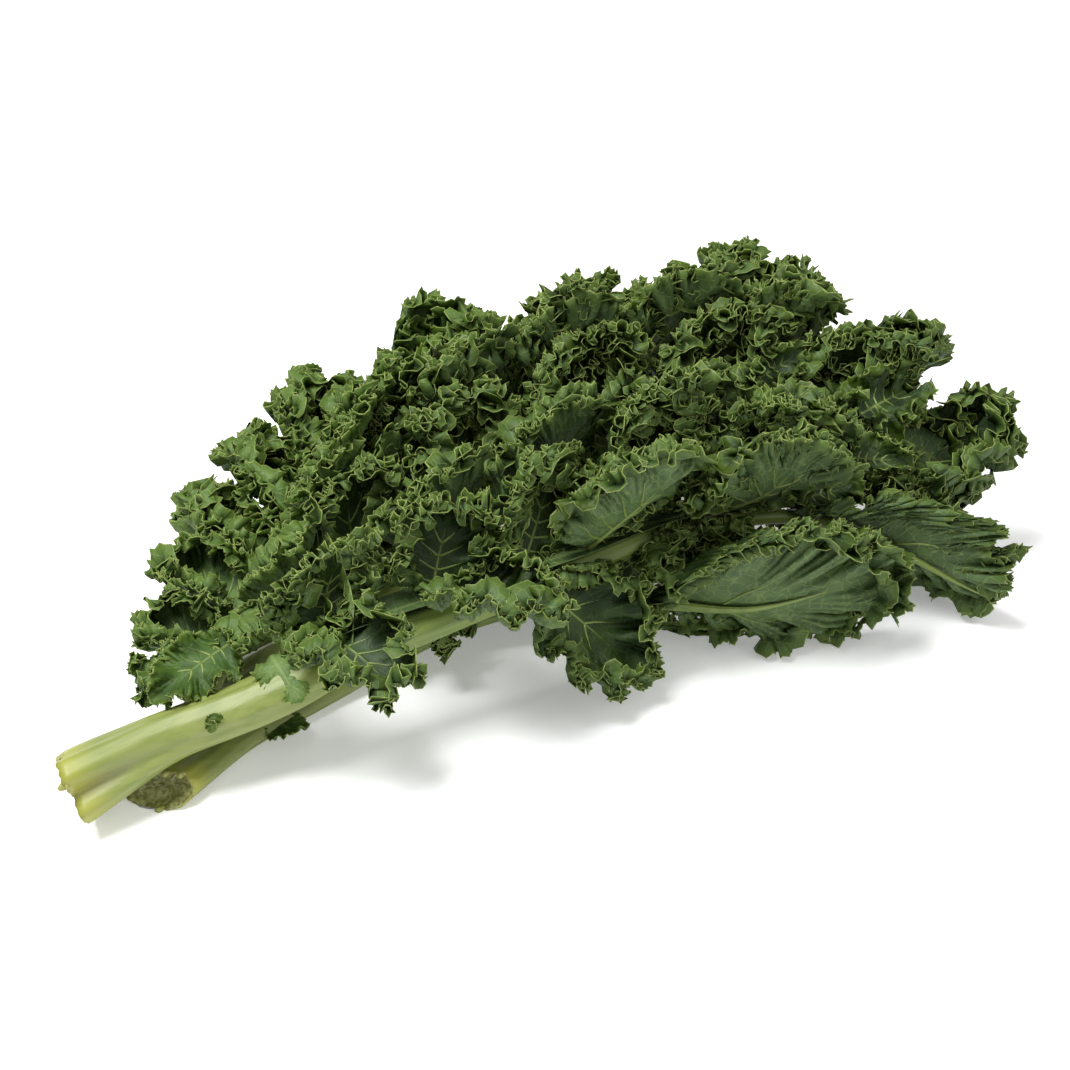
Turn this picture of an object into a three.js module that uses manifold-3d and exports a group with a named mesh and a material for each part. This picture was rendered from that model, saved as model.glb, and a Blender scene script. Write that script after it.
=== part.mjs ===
// A bunch of curly kale lying on its side, millimetres, +Z up.
// The stalks point to -X, the leafy end to +X, and the near side of the bunch is -Y.
// Each leaf is two bodies: a pale stalk that runs on as the midrib, and a dark green blade.
// A blade is a thin web over the midrib, side lobes in pairs and one larger end lobe.
// Every lobe is a cupped sheet whose edge is thrown into waves, because its margin is longer than its middle.

import * as THREE from 'three';
import { mergeVertices } from 'three/addons/utils/BufferGeometryUtils.js';
import Module from 'manifold-3d';

const wasm = await Module();
wasm.setup();

// Driving dimensions
const BLADE_THICKNESS = 1.0;
const STALK_CLEARANCE = 0.4;
const LEAF_CLEARANCE = 1.2;
const LOBE_CLEARANCE = 0.9;
const WAVE_LENGTH = 16;
const WAVE_HEIGHT = 6.5;
const PLAIN_CALM = 0.5;
const FLATTENED = 0.3;
const CENTRE_X = 3.3;
const CENTRE_Y = -0.55;
const STALK_GREEN = 0xa9b86a;

// How gradually a surface turns where it is pressed: between leaves, between lobes and on the ground.
// A list is one pass after another, so that a point pushed by several contacts ends clear of all of them.
const PRESS_SOFTNESS = [4, 0.4, 0.2];
const WALL_SOFTNESS = 2.5;
const GROUND_SOFTNESS = 2.5;

// A lobe's outline and curl, as shares of its length or width, and angles in degrees
const LOBE = {
  ribReach: 0.72,
  ribSpread: 1.3,
  fanAngle: 100,
  fanSpread: 0.6,
  tipReach: 0.42,
  fullWidthFrom: 0.45,
  rootTaper: 0.45,
  rootTaperFrom: 0.7,
  curlAtTip: 0.55,
  curlGrowth: 1.5,
  leastCurl: 65,
  moreCurl: 35,
  jitter: 6,
  curlSteps: 6,
  waveFrom: 0.15,
  waveFull: 1.05,
  fullWaveLength: 35,
};
const LOBE_ROWS = [0, 0.6, 1];

// The web over the midrib, reaching a little past the first and last lobe
const WEB = { halfWidth: 8, rise: 2.5, before: 0.05, after: 0.06, steps: 10 };

// The stalk: how far it runs into the end lobe, how thin it ends and how late it thins, how short its flared
// foot is, and how far before the first lobe it starts and ends its way down under the blade
const STALK = {
  sides: 10,
  stations: 13,
  reach: 0.7,
  tip: 0.12,
  taper: 1.4,
  leastHeight: 0.25,
  foot: 0.14,
  sinksFrom: 0.22,
  sunkBy: 0.03,
};

// Slivers and gaps smaller than these are closed when a leaf is made one body
const SLIVER = 0.05;
const WELD = 0.005;

// One entry for each leaf, in the order in which they lie, and how its lobes stand along it.
// roll turns the leaf about its midrib in degrees, positive lifting the near side.
// A lobe's row is: place along the midrib, length, half width, angle from the midrib, rise above level, bend.
// The end lobe has its place, the width of each half, how far it curls, and the share of the waves it keeps.
// The plain lobes, named by their place and with a minus on the far side, have shallower waves.
const LEAVES = [
  {
    name: 'low_leaf',
    midrib: [
      [-163, -12, 5.5], [-120, 2, 6], [-76, 9, 12], [-36, 6, 18],
      [0, -8, 21], [26, -29, 22], [54, -60, 23], [93, -84, 34],
    ],
    roll: [0, 10, 20, 65, 80],
    stalk: { width: 19, height: 11, flare: 1.2 },
    near: [
      [0.38, 20, 14, 60, 10, 0],
    ],
    far: [
      [0.32, 42, 22, 74, 0, -0.2],
      [0.45, 58, 26, 72, -8, -0.3],
      [0.57, 50, 26, 74, -14, -0.3],
    ],
    end: { at: 0.58, nearWidth: 58, farWidth: 14, cup: 40, calm: 0.5 },
    plain: [],
    seed: 23,
    green: 0x40632f,
  },
  {
    name: 'front_leaf',
    midrib: [
      [-190, -5.5, 14.5], [-146, -11, 28], [-104, -20, 47], [-58, -26, 52],
      [-10, -30, 52], [40, -36, 54], [92, -54, 46], [136, -96, 17],
    ],
    roll: [30, 15, 0, 10, 60],
    stalk: { width: 23, height: 20, flare: 1.7 },
    near: [
      [0.3, 34, 20, 75, 5, -0.8],
      [0.43, 40, 24, 60, 10, -0.3],
      [0.52, 56, 27, 52, -52, -0.2],
      [0.6, 50, 26, 58, 55, 0.1],
      [0.68, 40, 24, 50, -50, 0],
      [0.75, 50, 30, 55, 38, 0.1],
    ],
    far: [
      [0.3, 40, 22, 75, 35, 0.2],
      [0.42, 34, 26, 62, 50, 0.2],
      [0.53, 38, 28, 60, 55, 0.2],
      [0.64, 56, 28, 58, 55, 0.2],
      [0.74, 50, 26, 55, 50, 0.2],
    ],
    end: { at: 0.82, nearWidth: 58, farWidth: 46, cup: 50, calm: 0.7 },
    plain: [0.3, 0.43, 0.52, 0.6],
    seed: 11,
    green: 0x3a5a2c,
  },
  {
    name: 'middle_leaf',
    midrib: [
      [-134, 15, 10], [-108, 15, 18], [-78, 13, 31], [-42, 14, 44], [2, 14, 52],
      [50, 6, 58], [98, -10, 60], [142, -34, 53], [161, -60, 38],
    ],
    roll: [0, 0, 0, 0, -40],
    stalk: { width: 18, height: 10, flare: 1.2 },
    near: [
      [0.36, 46, 26, 66, 45, 0.2],
      [0.48, 54, 28, 60, 45, 0.2],
      [0.6, 56, 28, 60, 40, 0.2],
      [0.7, 54, 28, 58, 20, 0],
      [0.79, 63, 30, 64, -28, -0.2],
    ],
    far: [
      [0.3, 46, 26, 68, 40, 0.2],
      [0.43, 50, 28, 64, 45, 0.2],
      [0.56, 54, 30, 62, 40, 0.2],
      [0.68, 54, 30, 58, 40, 0.2],
      [0.78, 50, 28, 52, 40, 0.2],
    ],
    end: { at: 0.88, nearWidth: 48, farWidth: 38, cup: 60, calm: 1 },
    plain: [0.36, 0.48],
    seed: 37,
    green: 0x35532a,
  },
  {
    name: 'back_leaf',
    midrib: [
      [-126, 30, 5], [-100, 38, 11], [-70, 48, 24], [-30, 57, 42], [14, 58, 54],
      [60, 50, 63], [104, 36, 67], [146, 14, 64], [186, -20, 49],
    ],
    roll: [0, 0, 0, 0, -20],
    stalk: { width: 17, height: 10, flare: 1.2 },
    near: [
      [0.32, 44, 26, 70, 50, 0.2],
      [0.44, 52, 26, 66, 55, 0.2],
      [0.55, 56, 28, 62, 50, 0.2],
      [0.66, 56, 28, 60, 50, 0.2],
      [0.76, 54, 27, 58, 45, 0.2],
    ],
    far: [
      [0.3, 54, 28, 74, 60, 0.2],
      [0.4, 62, 28, 68, 50, 0.2],
      [0.5, 58, 26, 66, -48, -0.2],
      [0.59, 47, 28, 60, 48, 0.2],
      [0.68, 56, 26, 62, -48, -0.2],
      [0.77, 44, 28, 56, 34, 0.2],
    ],
    end: { at: 0.87, nearWidth: 54, farWidth: 34, cup: 70, calm: 1 },
    plain: [],
    seed: 41,
    green: 0x2f4d28,
  },
  {
    name: 'left_leaf',
    midrib: [
      [-136, 11.5, 22], [-126, 16, 30], [-106, 25, 37], [-78, 41, 43],
      [-50, 60, 52], [-18, 72, 66], [28, 80, 83],
    ],
    roll: [0, 0, 0, 0, 0],
    stalk: { width: 15, height: 9, flare: 1.2 },
    near: [
      [0.23, 46, 14, 84, 42, -1.4],
      [0.35, 40, 22, 66, 40, 0.2],
      [0.45, 46, 26, 62, 45, 0.2],
      [0.56, 48, 26, 60, 50, 0.2],
      [0.67, 46, 24, 56, 45, 0.2],
    ],
    far: [
      [0.1, 24, 16, 136, 42, 0],
      [0.2, 25, 20, 100, 10, 0],
      [0.33, 34, 24, 80, 5, 0],
      [0.46, 41, 26, 70, 10, 0],
      [0.58, 37, 24, 64, 20, 0],
      [0.69, 38, 24, 46, 14, 0],
    ],
    end: { at: 0.75, nearWidth: 34, farWidth: 42, cup: 70, calm: 1 },
    plain: [0.23, 0.35, -0.1, -0.2, -0.33],
    seed: 59,
    green: 0x44682f,
  },
];

// Where two leaves press against each other, as rows of X, Y, Z and tilt along the bunch.
// The surface passes through the point and faces the upper leaf's side:
// a tilt of 0 faces up, 90 to the far side, -90 to the near side.
const CONTACTS = [
  {
    below: 'low_leaf',
    above: 'front_leaf',
    at: [
      [-110, -10, 17, 0], [-50, -20, 27, -50], [10, -26, 26, -50], [24, -34, 32, 40],
      [40, -44, 40, 65], [54, -52, 40, 80], [80, -60, 40, 82], [112, -76, 40, 82], [140, -108, 20, 82],
    ],
  },
  {
    below: 'low_leaf',
    above: 'middle_leaf',
    at: [[-100, 5, 14, 0], [0, 5, 32, 10], [30, -20, 36, 50], [130, -70, 36, 60]],
  },
  {
    below: 'low_leaf',
    above: 'back_leaf',
    at: [[-100, 30, 6, 30], [-60, 40, 14, 15], [0, 50, 24, 10], [60, 45, 26, 20], [110, 10, 30, 60]],
  },
  {
    below: 'front_leaf',
    above: 'middle_leaf',
    at: [
      [-100, -4, 30, 80], [0, -8, 60, 80], [50, -16, 60, 80],
      [98, -36, 56, 70], [130, -62, 36, 45], [165, -84, 28, 20],
    ],
  },
  {
    below: 'middle_leaf',
    above: 'back_leaf',
    at: [
      [-100, 28, 30, 90], [0, 35, 60, 90], [50, 28, 60, 90],
      [100, 13, 60, 90], [150, -20, 60, 80], [185, -44, 50, 75],
    ],
  },
  {
    below: 'middle_leaf',
    above: 'left_leaf',
    at: [[-140, 15, 21, 0], [-98, 20, 27, 0], [-80, 30, 34, 80], [0, 60, 50, 90]],
  },
  {
    below: 'back_leaf',
    above: 'left_leaf',
    at: [[-110, 40, 20, 0], [-70, 56, 30, 20], [-40, 70, 42, 60], [10, 74, 50, 80]],
  },
];

const UP = new THREE.Vector3(0, 0, 1);

// A repeatable draw between 0 and 1
function seededDraw(seed) {
  let state = seed;
  return () => {
    state = (state * 16807) % 2147483647;
    return state / 2147483647;
  };
}

// Value along a short list spread evenly over 0 to 1
function along(list, t) {
  const place = THREE.MathUtils.clamp(t, 0, 1) * (list.length - 1);
  const low = Math.min(Math.floor(place), list.length - 2);
  return THREE.MathUtils.lerp(list[low], list[low + 1], place - low);
}

// Midrib curve with a frame: forward, up out of the upper side, and right towards -Y
function midribOf(leaf) {
  const points = leaf.midrib.map(([x, y, z]) => new THREE.Vector3(x, y, z));
  const curve = new THREE.CatmullRomCurve3(points, false, 'catmullrom', 0.5);
  return (t) => {
    const point = curve.getPoint(t);
    const forward = curve.getPoint(Math.min(t + 0.01, 1)).sub(curve.getPoint(Math.max(t - 0.01, 0)));
    forward.normalize();
    const level = UP.clone().addScaledVector(forward, -UP.dot(forward)).normalize();
    const right = new THREE.Vector3().crossVectors(forward, level);
    const roll = THREE.MathUtils.degToRad(along(leaf.roll, t));
    const up = level.clone().multiplyScalar(Math.cos(roll)).addScaledVector(right, -Math.sin(roll));
    right.crossVectors(forward, up);
    return { point, forward, up, right };
  };
}

// Side lobes and the end lobe, each with a rib function like the midrib's and the walls that it stays inside
function lobesOf(leaf, midrib) {
  const draw = seededDraw(leaf.seed);
  const { at: endAt, nearWidth, farWidth, cup, calm } = leaf.end;
  const endLobe = {
    rib: (t) => midrib(THREE.MathUtils.lerp(endAt, 1, t)),
    length: midrib(endAt).point.distanceTo(midrib(1).point),
    widths: { near: nearWidth, far: farWidth },
    cup,
    calm,
    walls: [],
  };
  const lobes = [];
  for (const [rows, side] of [[leaf.near, 1], [leaf.far, -1]]) {
    let before = null;
    for (const [at, length, halfWidth, angleDegrees, riseDegrees, bend] of rows) {
      const { point, forward, up, right } = midrib(at);
      const angle = THREE.MathUtils.degToRad(angleDegrees + (draw() - 0.5) * LOBE.jitter);
      const lean = side * Math.asin(THREE.MathUtils.clamp(right.z, -1, 1));
      const rise = THREE.MathUtils.degToRad(riseDegrees + (draw() - 0.5) * LOBE.jitter) - lean;
      const outward = right.clone().multiplyScalar(side * Math.cos(rise)).addScaledVector(up, Math.sin(rise));
      const start = forward.clone().multiplyScalar(Math.cos(angle)).addScaledVector(outward, Math.sin(angle));
      const face = new THREE.Vector3().crossVectors(outward, forward).multiplyScalar(side);
      const lobe = {
        rib: sideRib(point, start, face, length, bend),
        length,
        widths: { near: halfWidth, far: halfWidth },
        cup: LOBE.leastCurl + LOBE.moreCurl * draw(),
        calm: Math.min(1, length / LOBE.fullWaveLength) * (leaf.plain.includes(side * at) ? PLAIN_CALM : 1),
        walls: [{ origin: point, normal: right.clone().multiplyScalar(side) }],
      };
      if (before) addWall(before, lobe);
      lobes.push(lobe);
      before = lobe;
    }
    addWall(before, endLobe);
  }
  lobes.push(endLobe);
  return lobes;
}

// Two neighbouring lobes meet at a wall half way between their ribs
function addWall(first, second) {
  const root = first.rib(0).point.add(second.rib(0).point).multiplyScalar(0.5);
  const firstMiddle = first.rib(0.6).point;
  const secondMiddle = second.rib(0.6).point;
  const outward = firstMiddle.clone().add(secondMiddle).multiplyScalar(0.5).sub(root).normalize();
  const normal = secondMiddle.sub(firstMiddle);
  normal.addScaledVector(outward, -outward.dot(normal)).normalize();
  first.walls.push({ origin: root, normal: normal.clone().negate() });
  second.walls.push({ origin: root, normal });
}

// Keeps a lobe's point on its own side of its walls
function stayInside(point, walls) {
  for (const { origin, normal } of walls) {
    const inside = point.clone().sub(origin).dot(normal);
    point.addScaledVector(normal, pressed(inside, LOBE_CLEARANCE, WALL_SOFTNESS) - inside);
  }
  return point;
}

// A lobe's rib: it leaves the midrib straight and bends towards the lobe's upper face
function sideRib(root, start, face, length, arch) {
  return (t) => {
    const point = root.clone().addScaledVector(start, length * t);
    point.addScaledVector(face, 0.5 * length * arch * t * t);
    const forward = start.clone().addScaledVector(face, arch * t).normalize();
    const up = face.clone().addScaledVector(forward, -face.dot(forward)).normalize();
    const right = new THREE.Vector3().crossVectors(forward, up);
    return { point, forward, up, right };
  };
}

// How many half waves fit round a lobe's margin
function halfWavesOf(lobe) {
  const margin = 2 * lobe.length + 0.6 * (lobe.widths.near + lobe.widths.far);
  return 2 * Math.round(margin / WAVE_LENGTH);
}

// The lobe's middle surface. u runs round the margin from -1 through the tip at 0 to 1, v from rib to margin.
// Rays leave the rib square to it near the root and fan round to straight ahead at the tip, and curl upwards.
function lobePoint(lobe, u, v, wave) {
  const across = Math.abs(u);
  const { point, forward, up, right } = lobe.rib(LOBE.ribReach * (1 - across ** LOBE.ribSpread));
  const fan = Math.sign(u) * THREE.MathUtils.degToRad(LOBE.fanAngle) * across ** LOBE.fanSpread;
  const outward = forward.clone().multiplyScalar(Math.cos(fan)).addScaledVector(right, Math.sin(fan));
  const rootTaper = 1 - LOBE.rootTaper * THREE.MathUtils.smoothstep(across, LOBE.rootTaperFrom, 1);
  const side = u > 0 ? lobe.widths.near : lobe.widths.far;
  const sideShare = THREE.MathUtils.smoothstep(across, 0, LOBE.fullWidthFrom);
  const width = rootTaper * THREE.MathUtils.lerp(LOBE.tipReach * lobe.length, side, sideShare);
  const cup = THREE.MathUtils.degToRad(lobe.cup) * THREE.MathUtils.lerp(LOBE.curlAtTip, 1, across);
  const steps = LOBE.curlSteps;
  let flat = 0;
  let raised = 0;
  for (let step = 0; step < steps; step += 1) {
    const tilt = cup * (v * (step + 0.5) / steps) ** LOBE.curlGrowth;
    flat += Math.cos(tilt) * v / steps;
    raised += Math.sin(tilt) * v / steps;
  }
  const tilt = cup * v ** LOBE.curlGrowth;
  const height = wave * WAVE_HEIGHT * lobe.calm * THREE.MathUtils.smoothstep(v, LOBE.waveFrom, LOBE.waveFull);
  const normal = up.clone().multiplyScalar(Math.cos(tilt)).addScaledVector(outward, -Math.sin(tilt));
  return point
    .addScaledVector(outward, width * flat)
    .addScaledVector(up, width * raised)
    .addScaledVector(normal, height);
}

// Keeps a distance above a least value: far above it nothing changes, below it the rest is pressed thin
function pressed(distance, least, softness) {
  const t = (distance - least) / softness;
  return least + softness * (t > 30 ? t : Math.log1p(Math.exp(t)));
}

// Leaves press against each other: a point is pushed back to its own leaf's side of each contact,
// square to the contact in its section across the bunch, and up off the ground
function settle(point, name) {
  for (const softness of PRESS_SOFTNESS) {
    for (const { below, above, at } of CONTACTS) {
      if (name !== below && name !== above) continue;
      const side = name === above ? 1 : -1;
      const [, y, z, tilt] = between(at, point.x);
      const turn = THREE.MathUtils.degToRad(tilt);
      const inside = side * ((point.y - y) * Math.sin(turn) + (point.z - z) * Math.cos(turn));
      const push = side * (pressed(inside, LEAF_CLEARANCE, softness) - inside);
      point.y += push * Math.sin(turn);
      point.z += push * Math.cos(turn);
    }
    point.z = pressed(point.z, BLADE_THICKNESS / 2, Math.min(softness, GROUND_SOFTNESS));
  }
  return point;
}

// A row of a list at a place along X, blended from the rows on either side
function between(rows, x) {
  const next = rows.findIndex((row) => row[0] > x);
  if (next === 0) return rows[0];
  if (next < 0) return rows[rows.length - 1];
  const part = (x - rows[next - 1][0]) / (rows[next][0] - rows[next - 1][0]);
  return rows[next].map((value, k) => THREE.MathUtils.lerp(rows[next - 1][k], value, part));
}

// A closed solid from a sheet of points, given thickness along the sheet's normals
function sheetSolid(points, faces, thickness) {
  const normals = points.map(() => new THREE.Vector3());
  for (const [a, b, c] of faces) {
    const normal = new THREE.Vector3()
      .crossVectors(points[b].clone().sub(points[a]), points[c].clone().sub(points[a]));
    for (const k of [a, b, c]) normals[k].add(normal);
  }
  const position = [];
  for (const side of [0.5, -0.5]) {
    points.forEach((point, k) => {
      const moved = point.clone().addScaledVector(normals[k].clone().normalize(), side * thickness);
      position.push(moved.x, moved.y, moved.z);
    });
  }
  const count = points.length;
  const index = [];
  const open = new Map();
  for (const [a, b, c] of faces) {
    index.push(a, b, c, a + count, c + count, b + count);
    for (const [from, to] of [[a, b], [b, c], [c, a]]) {
      if (!open.delete(`${to} ${from}`)) open.set(`${from} ${to}`, [from, to]);
    }
  }
  for (const [from, to] of open.values()) {
    index.push(from, from + count, to, to, from + count, to + count);
  }
  return solidOf(position, index);
}

function solidOf(position, index) {
  return new wasm.Manifold(new wasm.Mesh({
    numProp: 3,
    vertProperties: new Float32Array(position),
    triVerts: new Uint32Array(index),
  }));
}

// The lobe as a sheet: columns stand on the crests and hollows of its waves,
// and the two sides of the rib share the rib's points
function lobeSheet(lobe, place) {
  const columns = halfWavesOf(lobe);
  const points = [];
  const rows = LOBE_ROWS.length;
  const at = (column, row) => {
    if (row === 0) return ribIndex[Math.abs(column - columns / 2)];
    return ribCount + column * (rows - 1) + row - 1;
  };
  const ribCount = columns / 2 + 1;
  const ribIndex = [];
  for (let k = 0; k < ribCount; k += 1) {
    ribIndex.push(k);
    points.push(place(lobePoint(lobe, 2 * k / columns, 0, 0)));
  }
  for (let column = 0; column <= columns; column += 1) {
    const u = 2 * column / columns - 1;
    const wave = column % 2 === 0 ? 1 : -1;
    for (let row = 1; row < rows; row += 1) {
      points.push(place(lobePoint(lobe, u, LOBE_ROWS[row], wave)));
    }
  }
  const faces = [];
  for (let column = 0; column < columns; column += 1) {
    for (let row = 0; row + 1 < rows; row += 1) {
      const corners = [at(column, row), at(column + 1, row), at(column + 1, row + 1), at(column, row + 1)];
      faces.push([corners[0], corners[1], corners[2]], [corners[0], corners[2], corners[3]]);
    }
  }
  return { points, faces };
}

function firstLobe(leaf) {
  return Math.min(leaf.near[0][0], leaf.far[0][0]);
}

// The web that joins the lobes across the upper side of the midrib
function webSheet(leaf, midrib, place) {
  const points = [];
  const faces = [];
  const from = firstLobe(leaf) - WEB.before;
  const to = leaf.end.at + WEB.after;
  for (let k = 0; k <= WEB.steps; k += 1) {
    const { point, up, right } = midrib(THREE.MathUtils.lerp(from, to, k / WEB.steps));
    for (const across of [-1, 0, 1]) {
      const spot = point.clone().addScaledVector(right, across * WEB.halfWidth);
      points.push(place(spot.addScaledVector(up, Math.abs(across) * WEB.rise)));
    }
  }
  for (let k = 0; k < WEB.steps; k += 1) {
    for (let across = 0; across < 2; across += 1) {
      const a = 3 * k + across;
      faces.push([a, a + 1, a + 4], [a, a + 4, a + 3]);
    }
  }
  return { points, faces };
}

// The stalk and midrib: an oval tube that flares at the cut end, and thins to the tip under the blade.
// Under the blade it follows the blade down its own side, half a blade and a clearance below it.
function stalkSolid(leaf, midrib, grow) {
  const { width, height, flare } = leaf.stalk;
  const last = THREE.MathUtils.lerp(leaf.end.at, 1, STALK.reach);
  const bladeFrom = firstLobe(leaf);
  const position = [];
  const index = [];
  for (let k = 0; k <= STALK.stations; k += 1) {
    const part = k / STALK.stations;
    const { point, up, right } = midrib(last * part);
    const underBlade = THREE.MathUtils.smoothstep(
      last * part,
      bladeFrom - STALK.sinksFrom,
      bladeFrom - STALK.sunkBy,
    );
    point.lerp(settle(point.clone(), leaf.name), underBlade);
    const thin = THREE.MathUtils.lerp(1, STALK.tip, part ** STALK.taper);
    const open = THREE.MathUtils.lerp(flare, 1, THREE.MathUtils.smoothstep(part, 0, STALK.foot));
    const halfWidth = 0.5 * width * thin * open + grow;
    const halfHeight = 0.5 * height * Math.max(thin, STALK.leastHeight) * (1 + open) / 2 + grow;
    const below = (BLADE_THICKNESS / 2 + STALK_CLEARANCE + halfHeight - grow) * underBlade;
    for (let side = 0; side < STALK.sides; side += 1) {
      const turn = 2 * Math.PI * side / STALK.sides;
      const spot = point.clone()
        .addScaledVector(right, halfWidth * Math.cos(turn))
        .addScaledVector(up, halfHeight * Math.sin(turn) - below);
      position.push(spot.x, spot.y, Math.max(spot.z, 0));
    }
  }
  for (let k = 0; k < STALK.stations; k += 1) {
    for (let side = 0; side < STALK.sides; side += 1) {
      const a = k * STALK.sides + side;
      const b = k * STALK.sides + (side + 1) % STALK.sides;
      index.push(a, a + STALK.sides, b, b, a + STALK.sides, b + STALK.sides);
    }
  }
  const end = STALK.stations * STALK.sides;
  for (let side = 1; side + 1 < STALK.sides; side += 1) {
    index.push(0, side, side + 1, end, end + side + 1, end + side);
  }
  return solidOf(position, index);
}

// The geometry of a solid, with points closer than a weld made one
function geometryOf(solid) {
  const { vertProperties, triVerts } = solid.getMesh();
  const geometry = new THREE.BufferGeometry();
  geometry.setAttribute('position', new THREE.BufferAttribute(vertProperties, 3));
  geometry.setIndex(new THREE.BufferAttribute(triVerts, 1));
  return mergeVertices(geometry, WELD);
}

// The largest body of a solid: slivers are smoothed away and points welded until it holds together as one
function largestBody(solid) {
  let body = solid;
  for (let pass = 0; pass < 3; pass += 1) {
    body = body.decompose().reduce((best, next) => (next.volume() > best.volume() ? next : best));
    const geometry = geometryOf(body.simplify(SLIVER));
    body = solidOf(geometry.attributes.position.array, geometry.index.array);
  }
  return body;
}

function meshOf(name, solid, colour) {
  const material = new THREE.MeshStandardMaterial({ color: colour, roughness: 0.6, metalness: 0 });
  const mesh = new THREE.Mesh(geometryOf(solid), material);
  mesh.geometry.computeVertexNormals();
  mesh.name = name;
  return mesh;
}

// The bunch sits on the flat spots that its weight presses into the lowest leaf edges and stalks
function seated(solid) {
  return largestBody(solid.trimByPlane([0, 0, 1], FLATTENED)).translate([-CENTRE_X, -CENTRE_Y, -FLATTENED]);
}

const group = new THREE.Group();
const grownStalks = LEAVES.map((leaf) => stalkSolid(leaf, midribOf(leaf), STALK_CLEARANCE));
const grownBlades = [];
LEAVES.forEach((leaf, order) => {
  const midrib = midribOf(leaf);
  const place = (point) => settle(point, leaf.name);
  const sheets = [
    webSheet(leaf, midrib, place),
    ...lobesOf(leaf, midrib).map((lobe) => lobeSheet(lobe, (point) => place(stayInside(point, lobe.walls)))),
  ];
  const bladeOf = (thickness) => sheets
    .map(({ points, faces }) => sheetSolid(points, faces, thickness))
    .reduce((whole, sheet) => whole.add(sheet));
  let blade = bladeOf(BLADE_THICKNESS);
  for (const other of [...grownStalks, ...grownBlades]) {
    if (blade.intersect(other).volume() > 0) blade = blade.subtract(other);
  }
  grownBlades.push(bladeOf(BLADE_THICKNESS + 2 * STALK_CLEARANCE));
  let stalk = stalkSolid(leaf, midrib, 0);
  for (const other of grownStalks.slice(0, order)) stalk = stalk.subtract(other);
  group.add(meshOf(`${leaf.name}_stalk`, seated(stalk), STALK_GREEN));
  group.add(meshOf(`${leaf.name}_blade`, seated(blade), leaf.green));
});

export default group;
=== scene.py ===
"""A bunch of curly kale lying on its side: five leaves, each a frilled blade on a pale stalk."""

import bpy
import numpy as np
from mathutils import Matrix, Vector


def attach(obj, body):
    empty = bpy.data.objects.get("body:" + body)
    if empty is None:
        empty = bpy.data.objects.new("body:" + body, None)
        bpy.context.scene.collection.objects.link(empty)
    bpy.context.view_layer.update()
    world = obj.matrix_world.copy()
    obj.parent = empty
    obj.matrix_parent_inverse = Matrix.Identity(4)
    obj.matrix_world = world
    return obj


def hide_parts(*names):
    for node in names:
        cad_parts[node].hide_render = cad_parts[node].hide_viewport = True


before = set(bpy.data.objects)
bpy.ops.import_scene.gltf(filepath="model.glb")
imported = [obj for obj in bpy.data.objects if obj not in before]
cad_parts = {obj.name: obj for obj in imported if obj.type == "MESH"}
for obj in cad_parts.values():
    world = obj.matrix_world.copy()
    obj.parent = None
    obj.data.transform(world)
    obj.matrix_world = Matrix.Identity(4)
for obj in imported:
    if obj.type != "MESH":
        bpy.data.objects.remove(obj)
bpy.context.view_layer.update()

# Camera
# It looks down on the bunch from the cut end's side, over the thick stalk in front.
CAMERA_AZIMUTH = np.radians(-35.0)
CAMERA_ELEVATION = np.radians(32.0)
CAMERA_DISTANCE = 0.870
CAMERA_TARGET = Vector((-0.0033, 0.00055, 0.0417))
CAMERA_LENS = 80.0

camera_data = bpy.data.cameras.new("photo_view")
camera_data.lens = CAMERA_LENS
camera_data.sensor_width = 36.0
camera = bpy.data.objects.new("photo_view", camera_data)
bpy.context.scene.collection.objects.link(camera)
away = Vector((
    np.sin(CAMERA_AZIMUTH) * np.cos(CAMERA_ELEVATION),
    -np.cos(CAMERA_AZIMUTH) * np.cos(CAMERA_ELEVATION),
    np.sin(CAMERA_ELEVATION),
))
camera.location = CAMERA_TARGET + CAMERA_DISTANCE * away
camera.rotation_euler = (-away).to_track_quat("-Z", "Y").to_euler()
bpy.context.scene.camera = camera

# Low leaf
# The leaf underneath, nearest the table. Like every leaf of the bunch it is a pale stalk that runs on as the
# midrib, and a dark blade of side lobes in pairs and one end lobe, whose long margin is thrown into frills.

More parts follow.
